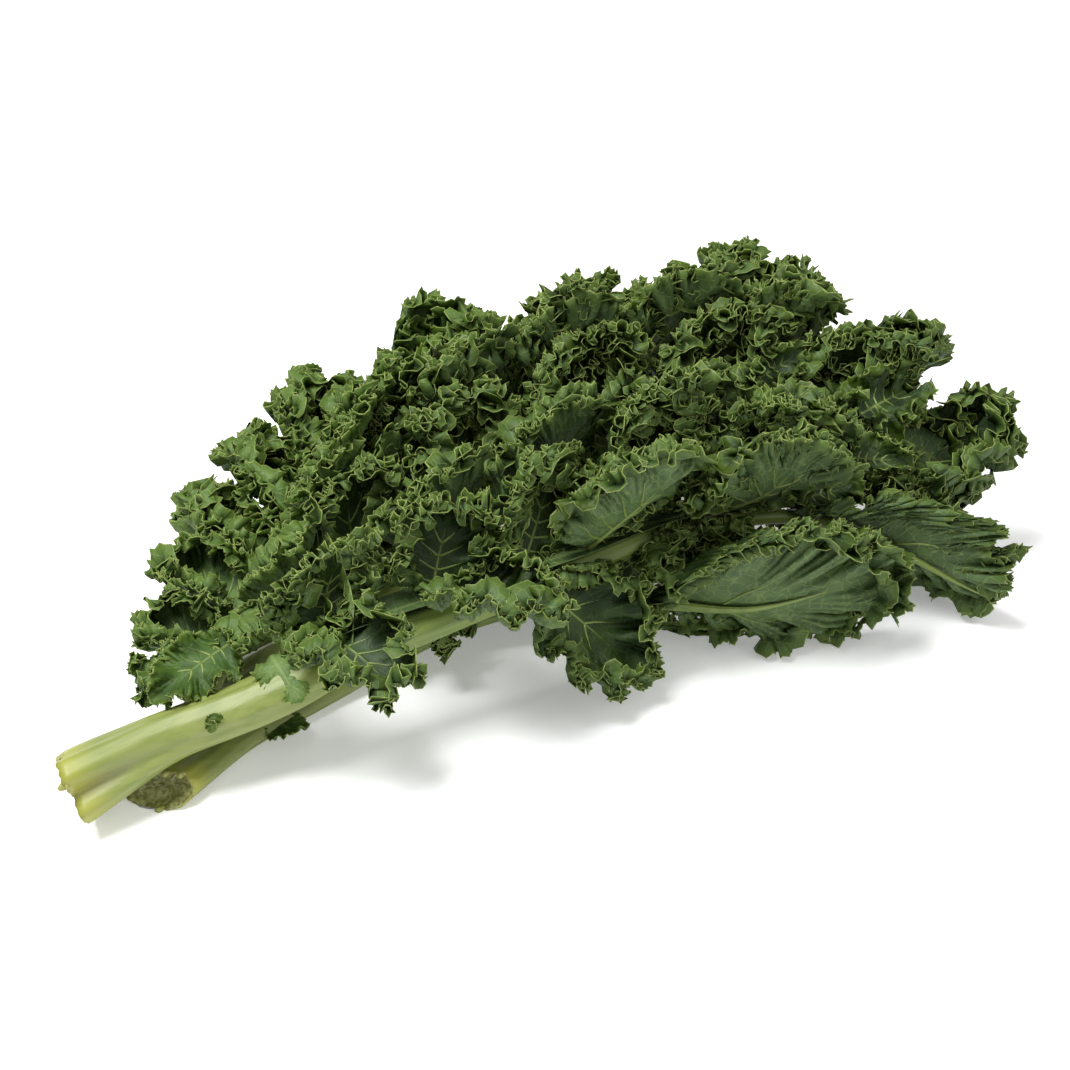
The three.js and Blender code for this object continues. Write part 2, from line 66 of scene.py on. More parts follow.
# Lengths here and in the leaves that follow are millimetres; a mesh is scaled to metres when it is made.
# Roll, angle, rise and cup are degrees. A lobe is a row of its place on the midrib, length, half width,
# angle from the midrib, rise above level and bend. Calm is the share of the full wave height it keeps. A
# ruffle has the face it stands on, its place from rib to margin and, if short, its first and last u. A
# leaflet is a small lobe given by its root. Plain lobes are calmer with one ruffle, open ones have one,
# rimmed ones one on each face; a far lobe's place has a minus sign there. Flare and waist widen and narrow
# a stalk's foot, scoop hollows its cut, notch sinks a valley into its side, and cut is the way it faces.
LOW_LEAF = {
    "name": "low_leaf",
    "midrib": [
        [-163, -12, 5.5], [-120, 2, 6], [-76, 9, 12], [-36, 6, 18],
        [0, -8, 21], [26, -29, 22], [54, -60, 23], [93, -84, 34],
    ],
    "roll": [0, 10, 20, 65, 80],
    "stalk": {
        "width": 19, "height": 11, "flare": 1.2, "waist": 0.0,
        "scoop": 5.0, "notch": 0.0, "cut": [-0.61, -0.51, 0.61],
    },
    "near": [
        [0.38, 20, 14, 60, 10, 0],
    ],
    "far": [
        [0.32, 42, 22, 74, 0, -0.2],
        [0.45, 58, 26, 72, -8, -0.3],
        [0.57, 50, 26, 74, -14, -0.3],
    ],
    "end": {
        "at": 0.58, "near": 58, "far": 14, "cup": 40, "calm": 0.5,
        "ruffles": [(1, 0.6), (-1, 0.84, -0.2, 1), (-1, 0.94, -0.6, 1)],
    },
    "leaflets": [
        {
            "root": [-112, 0, 8], "ahead": [0.1, -1, -0.1], "face": [0, 0, 1],
            "length": 13, "half_width": 8, "bend": 0.3, "calm": 0.22,
        },
    ],
    "seed": 23,
}

# Where two leaves press against each other: rows of X, Y, Z and tilt along the bunch, below leaf first
CONTACTS = [
    ("low_leaf", "front_leaf", [
        [-110, -10, 17, 0], [-50, -20, 27, -50], [10, -26, 26, -50], [24, -34, 32, 40],
        [40, -44, 40, 65], [54, -52, 40, 80], [80, -60, 40, 82], [112, -76, 40, 82], [140, -108, 20, 82],
    ]),
    ("low_leaf", "middle_leaf", [[-100, 5, 14, 0], [0, 5, 32, 10], [30, -20, 36, 50], [130, -70, 36, 60]]),
    ("low_leaf", "back_leaf", [
        [-100, 30, 6, 30], [-60, 40, 14, 15], [0, 50, 24, 10], [60, 45, 26, 20], [110, 10, 30, 60],
    ]),
    ("front_leaf", "middle_leaf", [
        [-100, -4, 30, 80], [0, -8, 60, 80], [50, -16, 60, 80],
        [98, -36, 56, 70], [130, -62, 36, 45], [165, -84, 28, 20],
    ]),
    ("middle_leaf", "back_leaf", [
        [-100, 28, 30, 90], [0, 35, 60, 90], [50, 28, 60, 90],
        [100, 13, 60, 90], [150, -20, 60, 80], [185, -44, 50, 75],
    ]),
    ("middle_leaf", "left_leaf", [[-140, 15, 21, 0], [-98, 20, 27, 0], [-80, 30, 34, 80], [0, 60, 50, 90]]),
    ("back_leaf", "left_leaf", [[-110, 40, 20, 0], [-70, 56, 30, 20], [-40, 70, 42, 60], [10, 74, 50, 80]]),
]
LEAF_CLEARANCE = 1.2
LOBE_CLEARANCE = 0.9
CONTACT_PASSES = (4, 0.4, 0.2)
WALL_SOFTNESS = 2.5
GROUND_SOFTNESS = 2.5
GROUND_HEIGHT = 0.5
BUNCH_CENTRE = np.array([3.3, -0.55, 0.3])
UP = np.array([0.0, 0.0, 1.0])

# A lobe's outline, its folds, the frills on them and the teeth of its margin
RIB_REACH = 0.72
FAN_ANGLE = 100
TIP_WIDTH = 0.42
ROOT_TAPER = 0.45
CUP_STEPS = 6
FOLD_LENGTH = 16.0
FOLD_HEIGHT = 8.0
FOLD_BULGE = 2.6
FOLD_RIPPLE = 1.6
FOLD_SHIFT = 0.7
RIPPLES_PER_FOLD = 2.3
DENT_DEPTH = 1.2
FRILLS_PER_FOLD = 6
FRILL_HEIGHT = 2.6
FRILL_BULGE = 0.9
FRILL_SHIFT = 2.2
TOOTH_LENGTH = 1.3
TOOTH_COLUMNS = 2
TOOTH_NOTCH = -0.4
BLADE_THICKNESS = 0.3
COLUMNS_PER_FRILL = 8
LOBE_ROWS = [0.0, 0.14, 0.3, 0.46, 0.6, 0.74, 0.87, 1.0]
LOBE_STEPS = [4, 4, 4, 2, 2, 2, 2, 1]
LEAFLET_CUP = 30
PLAIN_CALM = 0.5
FULL_WAVES_LENGTH = 35
RISES_STEEPLY = 30

# The inner ruffles that stand on a lobe: their wave, their height and which a lobe has
RUFFLE_LENGTH = 4.9
RUFFLE_SWING = 2.4
RUFFLE_OVERHANG = 0.9
RUFFLE_HEIGHT = 6.5
RUFFLE_SHIFT = 2.4
RUFFLE_ROWS = [0.0, 1.0]
RUFFLE_STEPS = [2, 1]
COLUMNS_PER_RUFFLE = 10
RUFFLES_ABOVE = [(1, 0.24), (1, 0.46), (1, 0.68), (1, 0.9)]
RUFFLES_BELOW = [(-1, 0.3), (-1, 0.52), (-1, 0.74), (-1, 0.92)]
RUFFLES_FEW = [(1, 0.9)]
RUFFLES_RIM = [(1, 0.9), (-1, 0.88)]

# The web over the midrib
WEB_STATIONS = 61
WEB_COLUMNS = 9
WEB_HALF_WIDTH = 8
WEB_DEPTH = 2.5


def unit(vectors):
    """Each vector divided by its own length."""
    return vectors / np.maximum(np.linalg.norm(vectors, axis=-1, keepdims=True), 1e-9)


def smoothstep(x, low, high):
    """0 below low, 1 above high, and 3s squared minus 2s cubed between, where s is the share of the way."""
    s = np.clip((x - low) / (high - low), 0, 1)
    return s * s * (3 - 2 * s)


def seeded_draw(seed):
    """A repeatable draw between 0 and 1: the last whole number times 16807, modulo two to the 31 less one."""
    state = seed
    while True:
        state = (state * 16807) % 2147483647
        yield state / 2147483647


def spline(points, t):
    """A uniform Catmull-Rom curve through the points, with the first and last span run on past the ends."""
    points = np.asarray(points, float)
    padded = np.vstack([2 * points[0] - points[1], points, 2 * points[-1] - points[-2]])
    place = np.clip(t, 0, 1) * (len(points) - 1)
    low = np.clip(np.floor(place).astype(int), 0, len(points) - 2)
    w = (place - low)[..., None]
    a, b, c, d = (padded[low + k] for k in range(4))
    return 0.5 * (2 * b + (c - a) * w + (2 * a - 5 * b + 4 * c - d) * w**2 + (3 * b - a - 3 * c + d) * w**3)


def midrib_frame(leaf, t):
    """Points of the midrib, with forward along it, up out of its upper side, and right to the near side."""
    point = spline(leaf["midrib"], t)
    ahead = spline(leaf["midrib"], np.minimum(t + 0.01, 1))
    behind = spline(leaf["midrib"], np.maximum(t - 0.01, 0))
    forward = unit(ahead - behind)
    level = unit(UP - forward * forward[..., 2:])
    right = np.cross(forward, level)
    rolls = np.radians(leaf["roll"])
    roll = np.interp(t, np.linspace(0, 1, len(rolls)), rolls)[..., None]
    up = level * np.cos(roll) - right * np.sin(roll)
    return point, forward, up, np.cross(forward, up)


def side_rib(root, start, face, length, bend):
    """A rib that leaves its root straight, then bends to the lobe's upper face with the square of the way."""
    def rib(t):
        t = np.asarray(t, float)[..., None]
        point = root + start * length * t + face * (0.5 * length * bend * t * t)
        forward = unit(start + face * bend * t)
        up = unit(face - forward * np.sum(face * forward, axis=-1, keepdims=True))
        return point, forward, up, np.cross(forward, up)
    return rib


def add_wall(first, second):
    """Two neighbouring lobes meet at a plane half way between their ribs, square to the line joining them."""
    root = 0.5 * (first["rib"](0.0)[0] + second["rib"](0.0)[0])
    middles = [lobe["rib"](0.6)[0] for lobe in (first, second)]
    outward = unit(0.5 * (middles[0] + middles[1]) - root)
    normal = middles[1] - middles[0]
    normal = unit(normal - outward * np.dot(outward, normal))
    first["walls"].append((root, -normal))
    second["walls"].append((root, normal))


def lobes_of(leaf):
    """The leaflets, side lobes and end lobe, each with its rib, widths, curl and the walls it stays in."""
    draw = seeded_draw(leaf["seed"])
    end = leaf["end"]
    tips = midrib_frame(leaf, np.array([end["at"], 1.0]))[0]
    end_lobe = {
        "rib": lambda t: midrib_frame(leaf, end["at"] + (1 - end["at"]) * np.asarray(t, float)),
        "length": np.linalg.norm(tips[1] - tips[0]),
        "near": end["near"],
        "far": end["far"],
        "cup": end["cup"],
        "walls": [],
        "ruffles": end.get("ruffles", RUFFLES_ABOVE),
        "calm": end.get("calm", 1.0),
    }
    lobes = []
    for row in leaf.get("leaflets", ()):
        ahead = unit(np.array(row["ahead"], float))
        face = unit(np.array(row["face"], float) - ahead * np.dot(row["face"], ahead))
        lobes.append({
            "rib": side_rib(np.array(row["root"], float), ahead, face, row["length"], row["bend"]),
            "length": row["length"],
            "near": row["half_width"],
            "far": row["half_width"],
            "cup": LEAFLET_CUP,
            "walls": [],
            "ruffles": [],
            "calm": row["calm"],
        })
    for rows, side in ((leaf["near"], 1), (leaf["far"], -1)):
        before = None
        for at, length, half_width, angle_degrees, rise_degrees, bend in rows:
            point, forward, up, right = midrib_frame(leaf, np.array(float(at)))
            angle = np.radians(angle_degrees + (next(draw) - 0.5) * 6)
            lean = side * np.arcsin(np.clip(right[2], -1, 1))
            rise = np.radians(rise_degrees + (next(draw) - 0.5) * 6) - lean
            outward = right * side * np.cos(rise) + up * np.sin(rise)
            start = forward * np.cos(angle) + outward * np.sin(angle)
            face = np.cross(outward, forward) * side
            lobe = {
                "rib": side_rib(point, start, face, length, bend),
                "length": length,
                "near": half_width,
                "far": half_width,
                "cup": 65 + 35 * next(draw),
                "walls": [(point, right * side)],
                "ruffles": RUFFLES_BELOW if side == 1 and rise_degrees > RISES_STEEPLY else RUFFLES_ABOVE,
                "calm": min(1, length / FULL_WAVES_LENGTH),
            }
            if side * at in leaf.get("plain", ()):
                lobe["ruffles"] = RUFFLES_FEW
                lobe["calm"] *= PLAIN_CALM
            if side * at in leaf.get("open", ()):
                lobe["ruffles"] = RUFFLES_FEW
            if side * at in leaf.get("rimmed", ()):
                lobe["ruffles"] = RUFFLES_RIM
            if before:
                add_wall(before, lobe)
            lobes.append(lobe)
            before = lobe
        add_wall(before, end_lobe)
    return lobes + [end_lobe]


def pressed(distance, least, softness):
    """The distance kept above a least value: least plus softness times log of one plus e to the excess."""
    return least + softness * np.logaddexp(0, (distance - least) / softness)


def stay_inside(points, walls):
    """Moves points along each wall's normal until they are clear of it."""
    for origin, normal in walls:
        inside = (points - origin) @ normal
        points = points + (pressed(inside, LOBE_CLEARANCE, WALL_SOFTNESS) - inside)[..., None] * normal
    return points


def settle(points, name):
    """Pushes points back to their leaf's side of each contact, square to it across the bunch, and off the
    table."""
    points = points.copy()
    for softness in CONTACT_PASSES:
        for below, above, rows in CONTACTS:
            if name not in (below, above):
                continue
            side = 1 if name == above else -1
            xs, ys, zs, tilts = np.array(rows, float).T
            turn = np.radians(np.interp(points[..., 0], xs, tilts))
            y = np.interp(points[..., 0], xs, ys)
            z = np.interp(points[..., 0], xs, zs)
            inside = side * ((points[..., 1] - y) * np.sin(turn) + (points[..., 2] - z) * np.cos(turn))
            push = side * (pressed(inside, LEAF_CLEARANCE, softness) - inside)
            points[..., 1] += push * np.sin(turn)
            points[..., 2] += push * np.cos(turn)
        points[..., 2] = pressed(points[..., 2], GROUND_HEIGHT, min(softness, GROUND_SOFTNESS))
    return points


def wander(along, seed, waves):
    """A smooth random value between about -1 and 1: three sines of rising frequency with seeded phases."""
    rng = np.random.default_rng(seed)
    phases = rng.uniform(0, 2 * np.pi, 3)
    parts = [np.sin(2 * np.pi * waves * rate * along + phase) for rate, phase in zip((1, 1.7, 2.9), phases)]
    return (parts[0] + 0.7 * parts[1] + 0.5 * parts[2]) / 1.6


def surface_directions(points):
    """Unit tangent along the margin, unit normal and unit tangent outwards, from differences of points."""
    round_margin = np.gradient(points, axis=0)
    outwards = np.gradient(points, axis=1)
    normal = unit(np.cross(round_margin, outwards))
    return unit(round_margin), normal, unit(outwards)


def teeth_of(count, seed):
    """How far each point of a margin stands out: teeth of drawn lengths at even steps, notches between."""
    teeth = np.zeros(count)
    points = teeth[::TOOTH_COLUMNS]
    teeth[::TOOTH_COLUMNS] = np.random.default_rng(seed).uniform(-0.1, 1, len(points))
    teeth[TOOTH_COLUMNS // 2::TOOTH_COLUMNS] = TOOTH_NOTCH
    return TOOTH_LENGTH * teeth


def lobe_grid(leaf, lobe, seed):
    """Points of one lobe on a grid: u runs round the margin from -1 through the tip to 1, v from rib out.

    Rays leave the rib square to it near the root and fan round to straight ahead at the tip, curling up by
    an angle that grows with the power 1.5 of v. Folds are a cosine of u along the normal, grown with v, and
    a sine of twice the phase along the margin makes them overhang. Frills are the same again, six to a
    fold, on the folded and settled surface, and teeth stand out from the last row.
    """
    folds = max(2, round((2 * lobe["length"] + 0.6 * (lobe["near"] + lobe["far"])) / FOLD_LENGTH))
    small = lobe["calm"]
    columns = folds * FRILLS_PER_FOLD * COLUMNS_PER_FRILL
    u = np.linspace(-1, 1, columns + 1)
    v = np.array(LOBE_ROWS)
    across = np.abs(u)
    point, forward, up, right = lobe["rib"](RIB_REACH * (1 - across**1.3))
    fan = (np.sign(u) * np.radians(FAN_ANGLE) * across**0.6)[:, None]
    outward = forward * np.cos(fan) + right * np.sin(fan)
    root_taper = 1 - ROOT_TAPER * smoothstep(across, 0.7, 1)
    side_width = np.where(u > 0, lobe["near"], lobe["far"])
    tip_width = TIP_WIDTH * lobe["length"]
    width = root_taper * (tip_width + (side_width - tip_width) * smoothstep(across, 0, 0.45))
    cup = np.radians(lobe["cup"]) * (0.55 + 0.45 * across)
    steps = (np.arange(CUP_STEPS) + 0.5) / CUP_STEPS
    tilts = cup[:, None, None] * (v[:, None] * steps) ** 1.5
    flat = np.mean(np.cos(tilts), axis=2) * v
    raised = np.mean(np.sin(tilts), axis=2) * v
    tilt = (cup[:, None] * v**1.5)[..., None]
    normal = up[:, None] * np.cos(tilt) - outward[:, None] * np.sin(tilt)
    points = point[:, None] + outward[:, None] * (width[:, None] * flat)[..., None]
    points += up[:, None] * (width[:, None] * raised)[..., None]

    along = (0.5 * (u + 1))[:, None]
    fold_phase = (np.pi * folds * (u + 1))[:, None] + FOLD_SHIFT * wander(along + 0.1 * v, seed + 4, 3)
    grown = smoothstep(v, 0.1, 1.0) * (1 + 0.3 * wander(along, seed + 5, 4))
    margin_direction = surface_directions(points)[0]
    ripple = np.cos(RIPPLES_PER_FOLD * fold_phase + 3 * wander(along, seed + 8, 5))
    points += normal * ((np.cos(fold_phase) * FOLD_HEIGHT + ripple * FOLD_RIPPLE) * small * grown)[..., None]
    dents = DENT_DEPTH * small * wander(along + 0.4 * v, seed + 6, 6)
    points += normal * (dents * smoothstep(v, 0.05, 0.5))[..., None]
    bulges = np.sin(2 * fold_phase) * FOLD_BULGE * small
    points += margin_direction * (bulges * smoothstep(v, 0.3, 1))[..., None]
    points = settle(stay_inside(points, lobe["walls"]), leaf["name"])
    folded = points

    strength = (0.95 + 0.45 * wander(along, seed, 5)) * small
    frill_phase = FRILLS_PER_FOLD * fold_phase + FRILL_SHIFT * wander(along, seed + 1, 4)
    frill_phase = frill_phase + 1.2 * wander(v, seed + 2, 0.6)
    margin_direction, normal, _ = surface_directions(points)
    grown = smoothstep(v, 0.3, 0.95) * strength
    points = points + normal * (np.cos(frill_phase) * FRILL_HEIGHT * grown)[..., None]
    bulge = FRILL_BULGE * min(1, 2 * small)
    points += margin_direction * (np.sin(2 * frill_phase) * bulge * smoothstep(v, 0.5, 1))[..., None]

    outwards = surface_directions(points)[2]
    points[:, -1] += outwards[:, -1] * (min(1, 2 * small) * teeth_of(columns + 1, seed + 3))[:, None]
    points[..., 2] = pressed(points[..., 2], GROUND_HEIGHT, 0.3)

    margin_length = 0.5 * folds * FOLD_LENGTH
    chart = np.stack(np.broadcast_arrays(
        u[:, None] * margin_length, v * width[:, None], (1 - v) * width[:, None]), axis=-1)
    return points, chart, folded


def ruffle_grid(points, folded, seed, side, place, first=-1, last=1):
    """Points of an inner ruffle on a grid: a strip standing on a line round the folded lobe, on one face.

    The foot follows the lobe at one share of the way from rib to margin, from the first u to the last, at
    even steps of its length. Above the foot the strip swings from side to side as a cosine of the length,
    with a sine of twice the phase along the foot, and both grow with the height, so the margin meanders and
    overhangs.
    """
    v = np.array(LOBE_ROWS)
    _, normal, outwards = surface_directions(folded)
    span = slice(round((first + 1) / 2 * (len(folded) - 1)), round((last + 1) / 2 * (len(folded) - 1)) + 1)
    points, folded, normal, outwards = points[span], folded[span], normal[span], outwards[span]
    along = np.linspace(0, 1, len(folded))
    at = place + 0.07 * wander(along, seed, 3)
    row = np.clip(np.searchsorted(v, at) - 1, 0, len(v) - 2)
    share = ((at - v[row]) / (v[row + 1] - v[row]))[:, None]
    column = np.arange(len(folded))
    foot, line, up, out = (
        grid[column, row] * (1 - share) + grid[column, row + 1] * share
        for grid in (points, folded, normal, outwards))
    length = np.concatenate([[0], np.cumsum(np.linalg.norm(np.diff(line, axis=0), axis=1))])
    ruffles = max(3, round(length[-1] / RUFFLE_LENGTH))
    even = np.linspace(0, length[-1], ruffles * COLUMNS_PER_RUFFLE + 1)
    foot, line, up, out = (
        np.stack([np.interp(even, length, grid[:, axis]) for axis in range(3)], axis=1)
        for grid in (foot, line, up, out))
    along = even / length[-1]
    forward = unit(np.gradient(line, axis=0))
    lean = 0.45 * np.sin(np.pi * along) + 0.35 * wander(along, seed + 1, 3)
    stand = unit(side * up * np.cos(lean)[:, None] + out * np.sin(lean)[:, None])
    across = unit(np.cross(forward, stand))
    rise = np.array(RUFFLE_ROWS)
    ends = smoothstep(along, 0, 0.12) * smoothstep(1 - along, 0, 0.12)
    height = RUFFLE_HEIGHT * (0.35 + 0.65 * ends) * (1 + 0.3 * wander(along, seed + 2, 5))
    phase = 2 * np.pi * ruffles * along + RUFFLE_SHIFT * wander(along, seed + 3, 5)
    swing = RUFFLE_SWING * (0.3 + 0.7 * ends) * (1 + 0.35 * wander(along, seed + 4, 7))
    points = foot[:, None] + stand[:, None] * (height[:, None] * rise)[..., None]
    points += across[:, None] * ((swing * np.cos(phase))[:, None] * rise**1.2)[..., None]
    points += forward[:, None] * ((RUFFLE_OVERHANG * np.sin(2 * phase))[:, None] * rise**1.5)[..., None]
    points[:, -1] += stand * teeth_of(len(points), seed + 5)[:, None]
    chart = np.stack(np.broadcast_arrays(
        even[:, None], 5 + height[:, None] * rise, height[:, None] * (1 - rise)), axis=-1)
    return points, chart


def sheet_of(points, chart, steps, rib=False):
    """Vertices, chart and triangles of a grid. Each row keeps one column in its step, three triangles join
    each coarse column to its two finer ones, and the two sides of a rib share the points of its row."""
    columns = len(points) - 1
    vertices, charts, rows = [], [], []
    count = 0
    for row, step in enumerate(steps):
        kept = np.arange(0, columns + 1, step)
        rows.append(count + np.arange(len(kept)))
        if rib and row == 0:
            rows[0] = np.minimum(rows[0], len(kept) - 1 - rows[0])
            kept = kept[:len(kept) // 2 + 1]
        vertices.append(points[kept, row])
        charts.append(chart[kept, row])
        count += len(kept)
    faces = []
    for inner, outer in zip(rows[:-1], rows[1:]):
        if len(inner) == len(outer):
            faces.append(np.stack([inner[:-1], inner[1:], outer[1:]], 1))
            faces.append(np.stack([inner[:-1], outer[1:], outer[:-1]], 1))
            continue
        faces.append(np.stack([inner[:-1], outer[1::2], outer[:-1:2]], 1))
        faces.append(np.stack([inner[:-1], inner[1:], outer[1::2]], 1))
        faces.append(np.stack([inner[1:], outer[2::2], outer[1::2]], 1))
    faces = np.concatenate(faces)
    whole = (faces[:, 0] != faces[:, 1]) & (faces[:, 1] != faces[:, 2]) & (faces[:, 2] != faces[:, 0])
    return np.concatenate(vertices), np.concatenate(charts), faces[whole]


def web_sheet(leaf):
    """The web over the midrib, from the first lobe to the end lobe. Its sides rise with the square of the
    way out."""
    first = min(leaf["near"][0][0], leaf["far"][0][0])
    t = np.linspace(first - 0.05, leaf["end"]["at"] + 0.06, WEB_STATIONS)
    side = np.linspace(-1, 1, WEB_COLUMNS)
    point, _, up, right = midrib_frame(leaf, t)
    points = point[:, None] + right[:, None] * (WEB_HALF_WIDTH * side)[:, None]
    points += up[:, None] * (WEB_DEPTH * side**2)[:, None]
    points = settle(points, leaf["name"])
    chart = np.zeros(points.shape)
    chart[..., 0] = np.linspace(0, 200, len(t))[:, None]
    chart[..., 1] = WEB_HALF_WIDTH * np.abs(side)
    chart[..., 2] = 20
    return sheet_of(points, chart, np.ones(len(side), int))


def two_faced(vertices, chart, faces, thickness):
    """A sheet given thickness: each point moved half of it along its averaged normal for the upper face and
    half the other way for the lower face, with a wall round every open edge."""
    corners = vertices[faces]
    face_normals = np.cross(corners[:, 1] - corners[:, 0], corners[:, 2] - corners[:, 0])
    normals = np.zeros(vertices.shape)
    for k in range(3):
        np.add.at(normals, faces[:, k], face_normals)
    normals = unit(normals)
    count = len(vertices)
    edges = np.concatenate([faces[:, [0, 1]], faces[:, [1, 2]], faces[:, [2, 0]]])
    keys = edges[:, 0].astype(np.int64) * count + edges[:, 1]
    back = edges[:, 1].astype(np.int64) * count + edges[:, 0]
    a, b = edges[~np.isin(keys, back)].T
    walls = np.concatenate([np.stack([a, a + count, b], 1), np.stack([b, a + count, b + count], 1)])
    solid = np.concatenate([vertices + 0.5 * thickness * normals, vertices - 0.5 * thickness * normals])
    triangles = np.concatenate([faces, faces[:, [0, 2, 1]] + count, walls])
    under = np.concatenate([np.zeros(count), np.ones(count)])
    return solid, np.concatenate([chart, chart]), under, triangles


def put_mesh(name, vertices, triangles, material):
    """A mesh object in metres from millimetre points of the bunch, seated on the table and centred."""
    mesh = bpy.data.meshes.new(name)
    mesh.vertices.add(len(vertices))
    mesh.vertices.foreach_set("co", ((vertices - BUNCH_CENTRE) * 0.001).astype(np.float32).ravel())
    mesh.loops.add(3 * len(triangles))
    mesh.loops.foreach_set("vertex_index", triangles.astype(np.int32).ravel())
    mesh.polygons.add(len(triangles))
    mesh.polygons.foreach_set("loop_start", np.arange(0, 3 * len(triangles), 3, dtype=np.int32))
    mesh.polygons.foreach_set("use_smooth", np.ones(len(triangles), bool))
    mesh.update(calc_edges=True)
    mesh.validate()
    mesh.materials.append(material)
    thing = bpy.data.objects.new(name, mesh)
    bpy.context.scene.collection.objects.link(thing)
    return thing


def point_values(thing, name, values):
    """One number for each point of the mesh, for its material to read."""
    layer = thing.data.attributes.new(name, "FLOAT", "POINT")
    layer.data.foreach_set("value", values.astype(np.float32))


def leaf_blade(leaf, material):
    """The whole blade: its web, lobes and inner ruffles as thin two-faced sheets in one mesh, charted for
    veins and margin. The lobes come back with their grids, for the ribs that run under them."""
    sheets = [web_sheet(leaf)]
    lobes = lobes_of(leaf)
    for number, lobe in enumerate(lobes):
        seed = 1000 * leaf["seed"] + 50 * number
        lobe["points"], chart, folded = lobe_grid(leaf, lobe, seed)
        sheets.append(sheet_of(lobe["points"], chart, LOBE_STEPS, rib=True))
        for k, where in enumerate(lobe["ruffles"]):
            ruffle, chart = ruffle_grid(lobe["points"], folded, seed + 10 + 6 * k, *where)
            ruffle = settle(stay_inside(ruffle, lobe["walls"]), leaf["name"])
            sheets.append(sheet_of(ruffle, chart, RUFFLE_STEPS))
    parts = [two_faced(*sheet, BLADE_THICKNESS) for sheet in sheets]
    starts = np.cumsum([0] + [len(part[0]) for part in parts[:-1]])
    vertices, chart, under = (np.concatenate([part[k] for part in parts]) for k in range(3))
    triangles = np.concatenate([part[3] + start for part, start in zip(parts, starts)])
    blade = put_mesh(leaf["name"] + "_blade_frilled", vertices, triangles, material)
    point_values(blade, "round_margin", chart[:, 0])
    point_values(blade, "from_rib", chart[:, 1])
    point_values(blade, "from_margin", chart[:, 2])
    point_values(blade, "under", under)
    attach(blade, "root")
    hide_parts(leaf["name"] + "_blade")
    return lobes


STALK_SIDES = 60
STALK_STATIONS = 110
STALK_REACH = 0.7
STALK_TIP = 0.12
STALK_POINT = 1.08
HOLLOW_RINGS = [(0.3, 1.0), (0.55, 0.85), (0.78, 0.5), (0.92, 0.1)]
FLARE_REACH = 0.13
CUT_REACH = 0.12
VALLEY_REACH = 0.17
GROOVE_DEPTH = 0.16
BLADE_GAP = 0.4
TORN_NUBS = 4
SHORTEST_RIBBED = 20
RIB_SIDES = 8
RIB_STATIONS = 24
VEIN_SIDES = 5
VEIN_STATIONS = 12
VEIN_ROWS = 5
VEINS_AT = [0.3, 0.5, 0.68, 0.84]


def tube(points, radii, sides):
    """Rings of points round a path, each square to it and of its own radius, with a point at each end."""
    forward = unit(np.gradient(points, axis=0))
    across = unit(np.cross(forward, UP))
    over = np.cross(across, forward)
    turn = np.linspace(0, 2 * np.pi, sides, endpoint=False)[None, :, None]
    spokes = across[:, None] * np.cos(turn) + over[:, None] * np.sin(turn)
    return closed_rings(points[:, None] + radii[:, None, None] * spokes)


def closed_rings(rings):
    """Vertices and triangles of a tube through rings of points, with a middle point closing each end."""
    count, sides = rings.shape[:2]
    at = np.arange(count * sides).reshape(count, sides)
    a, b = at[:-1], np.roll(at[:-1], -1, axis=1)
    c, d = at[1:], np.roll(at[1:], -1, axis=1)
    walls = [np.stack([a, c, b], -1).reshape(-1, 3), np.stack([b, c, d], -1).reshape(-1, 3)]
    first, last = count * sides, count * sides + 1
    ends = [
        np.stack([np.full(sides, first), at[0], np.roll(at[0], -1)], 1),
        np.stack([np.full(sides, last), np.roll(at[-1], -1), at[-1]], 1),
    ]
    middles = np.stack([rings[0].mean(0), rings[-1].mean(0)])
    return np.concatenate([rings.reshape(-1, 3), middles]), np.concatenate(walls + ends)


